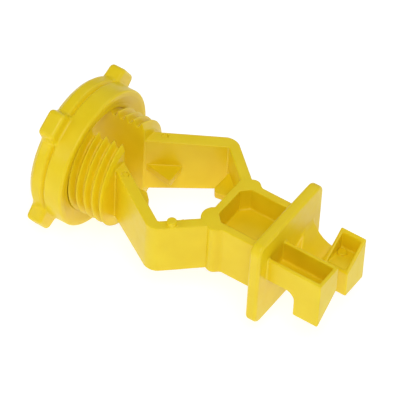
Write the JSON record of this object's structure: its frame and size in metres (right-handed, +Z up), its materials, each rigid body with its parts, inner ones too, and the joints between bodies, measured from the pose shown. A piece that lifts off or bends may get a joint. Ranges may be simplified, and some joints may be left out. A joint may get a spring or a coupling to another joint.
{
  "type": "screw-tight fence post insulator",
  "caption": "Plastic electric-fence insulator: V jaws and a ring nut clamp it on a round post, and two opposed hooked claws hold the wire.",
  "frame": {"origin": "centre of the post seat, the flat rear face of the pocketed block, on the thread's axis", "axes": "+X from the ring nut to the wire claws, along the thread's axis; +Z up, along the clamped post; +Y towards the claw that hooks upwards"},
  "size_m": [0.0872, 0.0426, 0.0426],
  "materials": {
    "pocket_block_plastic": "moulded yellow polyethylene, soft gloss",
    "shield_plate_plastic": "moulded yellow polyethylene, soft gloss",
    "near_wire_claw_plastic": "moulded yellow polyethylene, soft gloss",
    "far_wire_claw_plastic": "moulded yellow polyethylene, soft gloss",
    "far_jaw_arm_plastic": "moulded yellow polyethylene, soft gloss",
    "far_threaded_half_plastic": "moulded yellow polyethylene, soft gloss",
    "near_jaw_arm_plastic": "moulded yellow polyethylene, soft gloss",
    "near_threaded_half_plastic": "moulded yellow polyethylene, soft gloss",
    "nut_collar_plastic": "moulded yellow polyethylene, soft gloss",
    "nut_threaded_hub_plastic": "moulded yellow polyethylene, soft gloss"
  },
  "bodies": {
    "insulator_body": {"pocket_block": "pocket_block_plastic", "shield_plate": "shield_plate_plastic", "near_wire_claw": "near_wire_claw_plastic", "far_wire_claw": "far_wire_claw_plastic"},
    "far_jaw": {"far_jaw_arm": "far_jaw_arm_plastic", "far_threaded_half": "far_threaded_half_plastic"},
    "near_jaw": {"near_jaw_arm": "near_jaw_arm_plastic", "near_threaded_half": "near_threaded_half_plastic"},
    "nut_slider": {"nut_collar": "nut_collar_plastic"},
    "nut_spinner": {"nut_threaded_hub": "nut_threaded_hub_plastic"}
  },
  "joints": [
    {"name": "far_jaw_flex", "type": "hinge", "parent": "insulator_body", "child": "far_jaw", "pos_m": [0.0019, 0.0067, 0], "axis": [0, 0, 1], "range_deg": [0, 4.2], "stiffness_Nm_per_rad": 2.4},
    {"name": "near_jaw_flex", "type": "hinge", "parent": "insulator_body", "child": "near_jaw", "pos_m": [0.0019, -0.0067, 0], "axis": [0, 0, -1], "range_deg": [0, 4.2], "stiffness_Nm_per_rad": 2.4},
    {"name": "nut_travel", "type": "slide", "parent": "insulator_body", "child": "nut_slider", "axis": [1, 0, 0], "range_m": [-0.0092, 0.0092]},
    {"name": "nut_spin", "type": "hinge", "parent": "nut_slider", "child": "nut_spinner", "pos_m": [-0.0383, 0, 0], "axis": [1, 0, 0], "range_deg": [-1260, 1260]}
  ],
  "couplings": [
    {"joint": "nut_travel", "follows": "nut_spin", "m_per_rad": 0.00040585}
  ]
}
